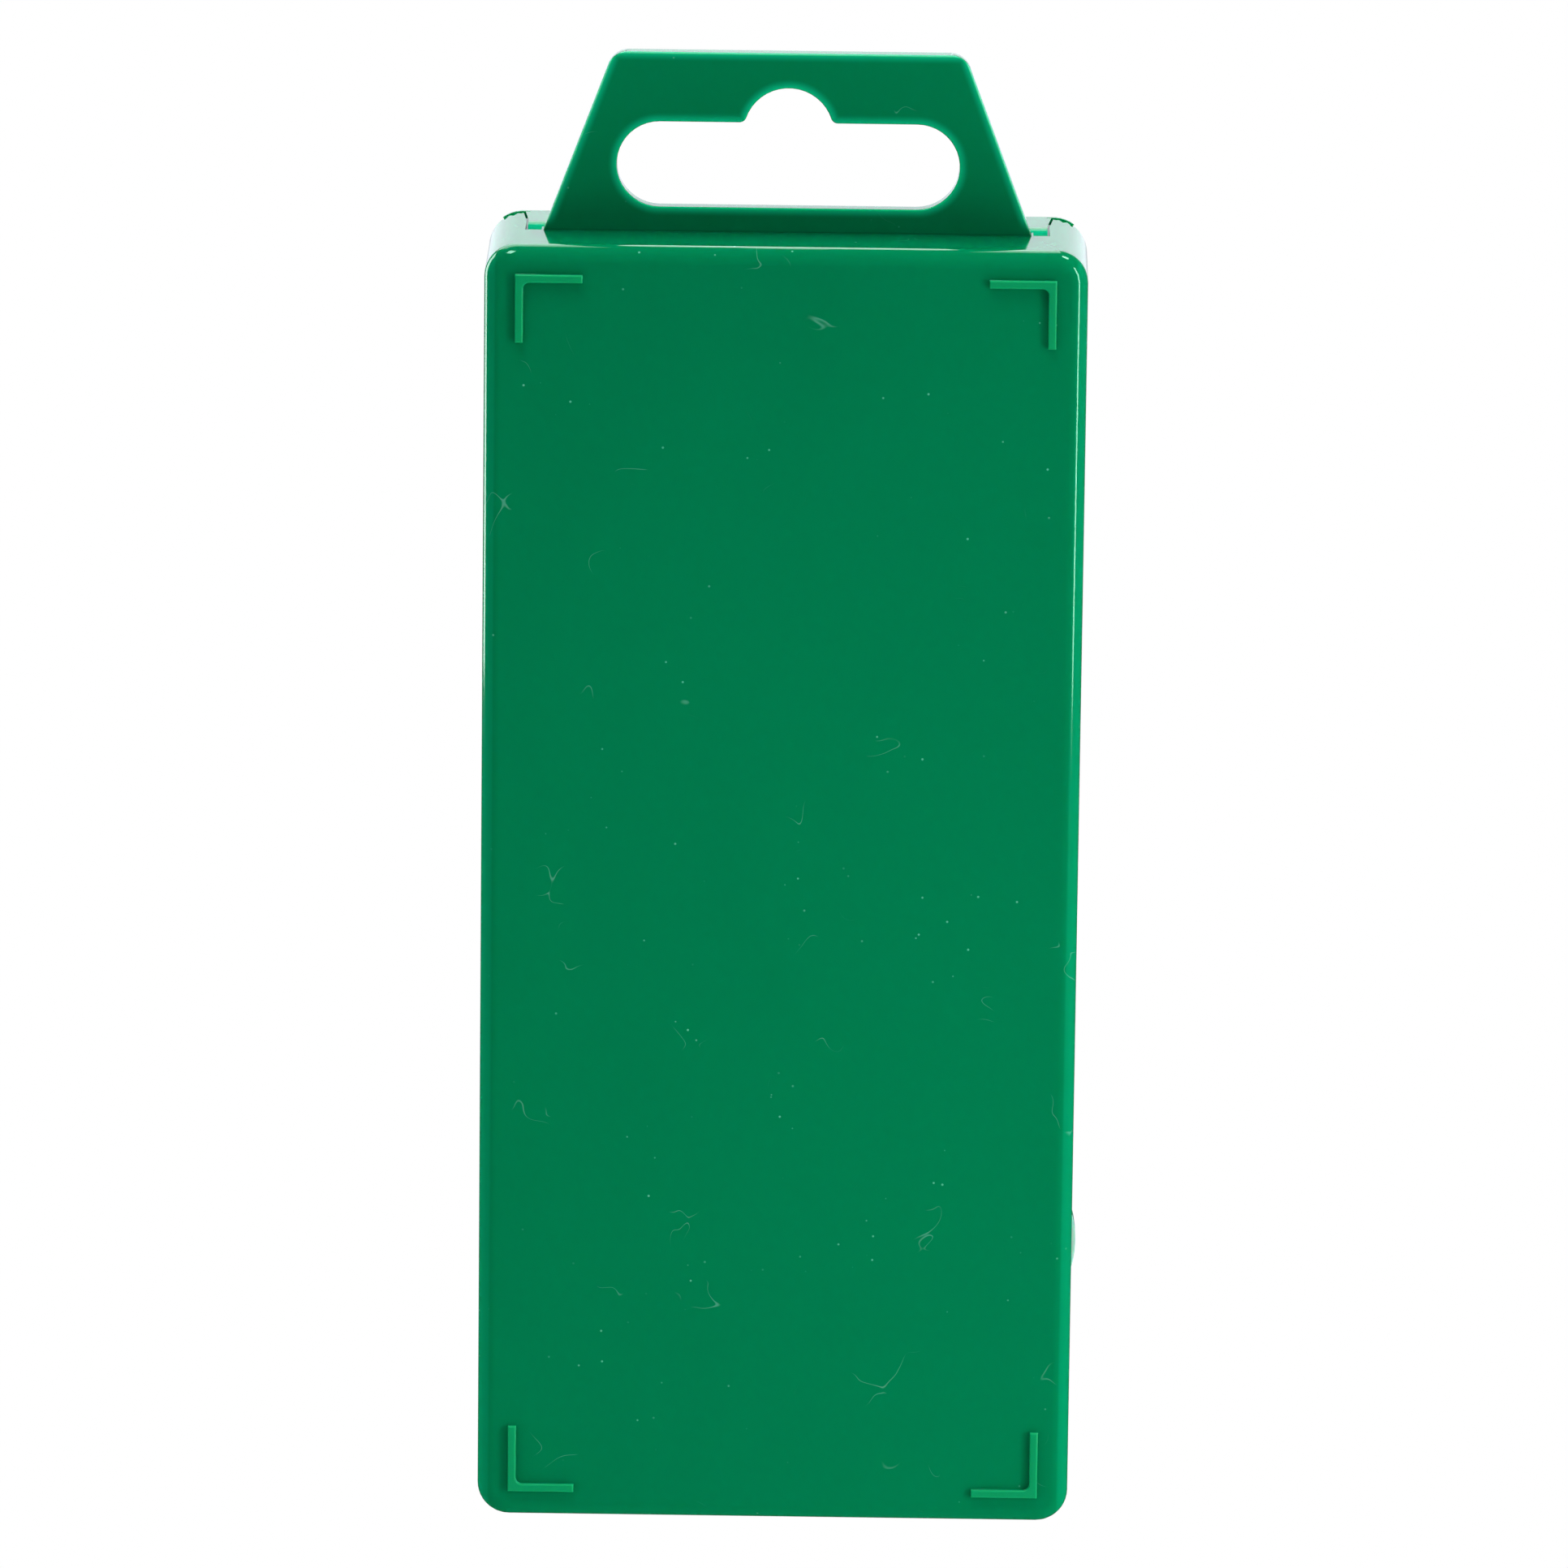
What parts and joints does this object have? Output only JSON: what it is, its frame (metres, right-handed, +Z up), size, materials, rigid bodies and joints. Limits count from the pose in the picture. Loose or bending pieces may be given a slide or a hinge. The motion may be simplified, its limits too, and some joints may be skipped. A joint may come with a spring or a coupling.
{
  "type": "maximum minimum thermometer",
  "caption": "Hanging case with a swing-up windowed cover over a U-tube maximum minimum thermometer with sliding indices and a magnetic reset button.",
  "frame": {"origin": "crown of the dome over the hook slot, in the middle of the hanger's thickness", "axes": "+Z up the case, +Y towards the wall behind it, +X to the right of a reader in front of it"},
  "size_m": [0.0569, 0.0203, 0.1392],
  "materials": {
    "case_green": "glossy moulded polystyrene",
    "clear_pane": "clear polished pane",
    "scale_white": "satin moulded",
    "bright_steel": "bright zinc plated",
    "tube_glass": "clear drawn glass",
    "indicator_blue": "dyed liquid",
    "spirit_clear": "clear liquid",
    "index_red": "coloured plastic",
    "index_blue": "coloured plastic",
    "clip_white": "satin moulded",
    "rivet_aluminium": "bright",
    "guide_grey": "satin moulded",
    "button_red": "glossy moulded",
    "carrier_grey": "matt moulded",
    "magnet_brown": "matt flexible magnet strip"
  },
  "bodies": {
    "case": {"rear_shell": "case_green", "scale_plate": "scale_white", "plate_screws": "bright_steel", "u_tube": "tube_glass", "indicator_liquid": "indicator_blue", "main_spirit": "spirit_clear", "expansion_spirit": "spirit_clear", "tube_clips": "clip_white", "clip_rivets": "rivet_aluminium", "bend_cradle": "clip_white", "button_guide": "guide_grey", "button_spring": "bright_steel"},
    "cover": {"front_cover": "case_green", "cover_window": "clear_pane"},
    "reset": {"reset_button": "button_red", "magnet_carrier": "carrier_grey", "left_magnet": "magnet_brown", "right_magnet": "magnet_brown", "stem_clip": "bright_steel"},
    "maximum_index": {"max_index": "index_red", "max_index_needle": "bright_steel"},
    "minimum_index": {"min_index": "index_blue", "min_index_needle": "bright_steel"}
  },
  "joints": [
    {"name": "cover_swing", "type": "hinge", "parent": "case", "child": "cover", "pos_m": [0, -0.0033, -0.01541], "axis": [-1, 0, 0], "range_deg": [0, 90]},
    {"name": "reset_press", "type": "slide", "parent": "case", "child": "reset", "axis": [0, 1, 0], "range_m": [0, 0.0024], "stiffness_N_per_m": 600, "springref_m": -0.002, "deforming": ["button_spring"]},
    {"name": "max_index_slide", "type": "slide", "parent": "case", "child": "maximum_index", "axis": [0, 0, 1], "range_m": [-0.0052, 0.01725]},
    {"name": "min_index_slide", "type": "slide", "parent": "case", "child": "minimum_index", "axis": [0, 0, 1], "range_m": [-0.00895, 0.0285]}
  ]
}
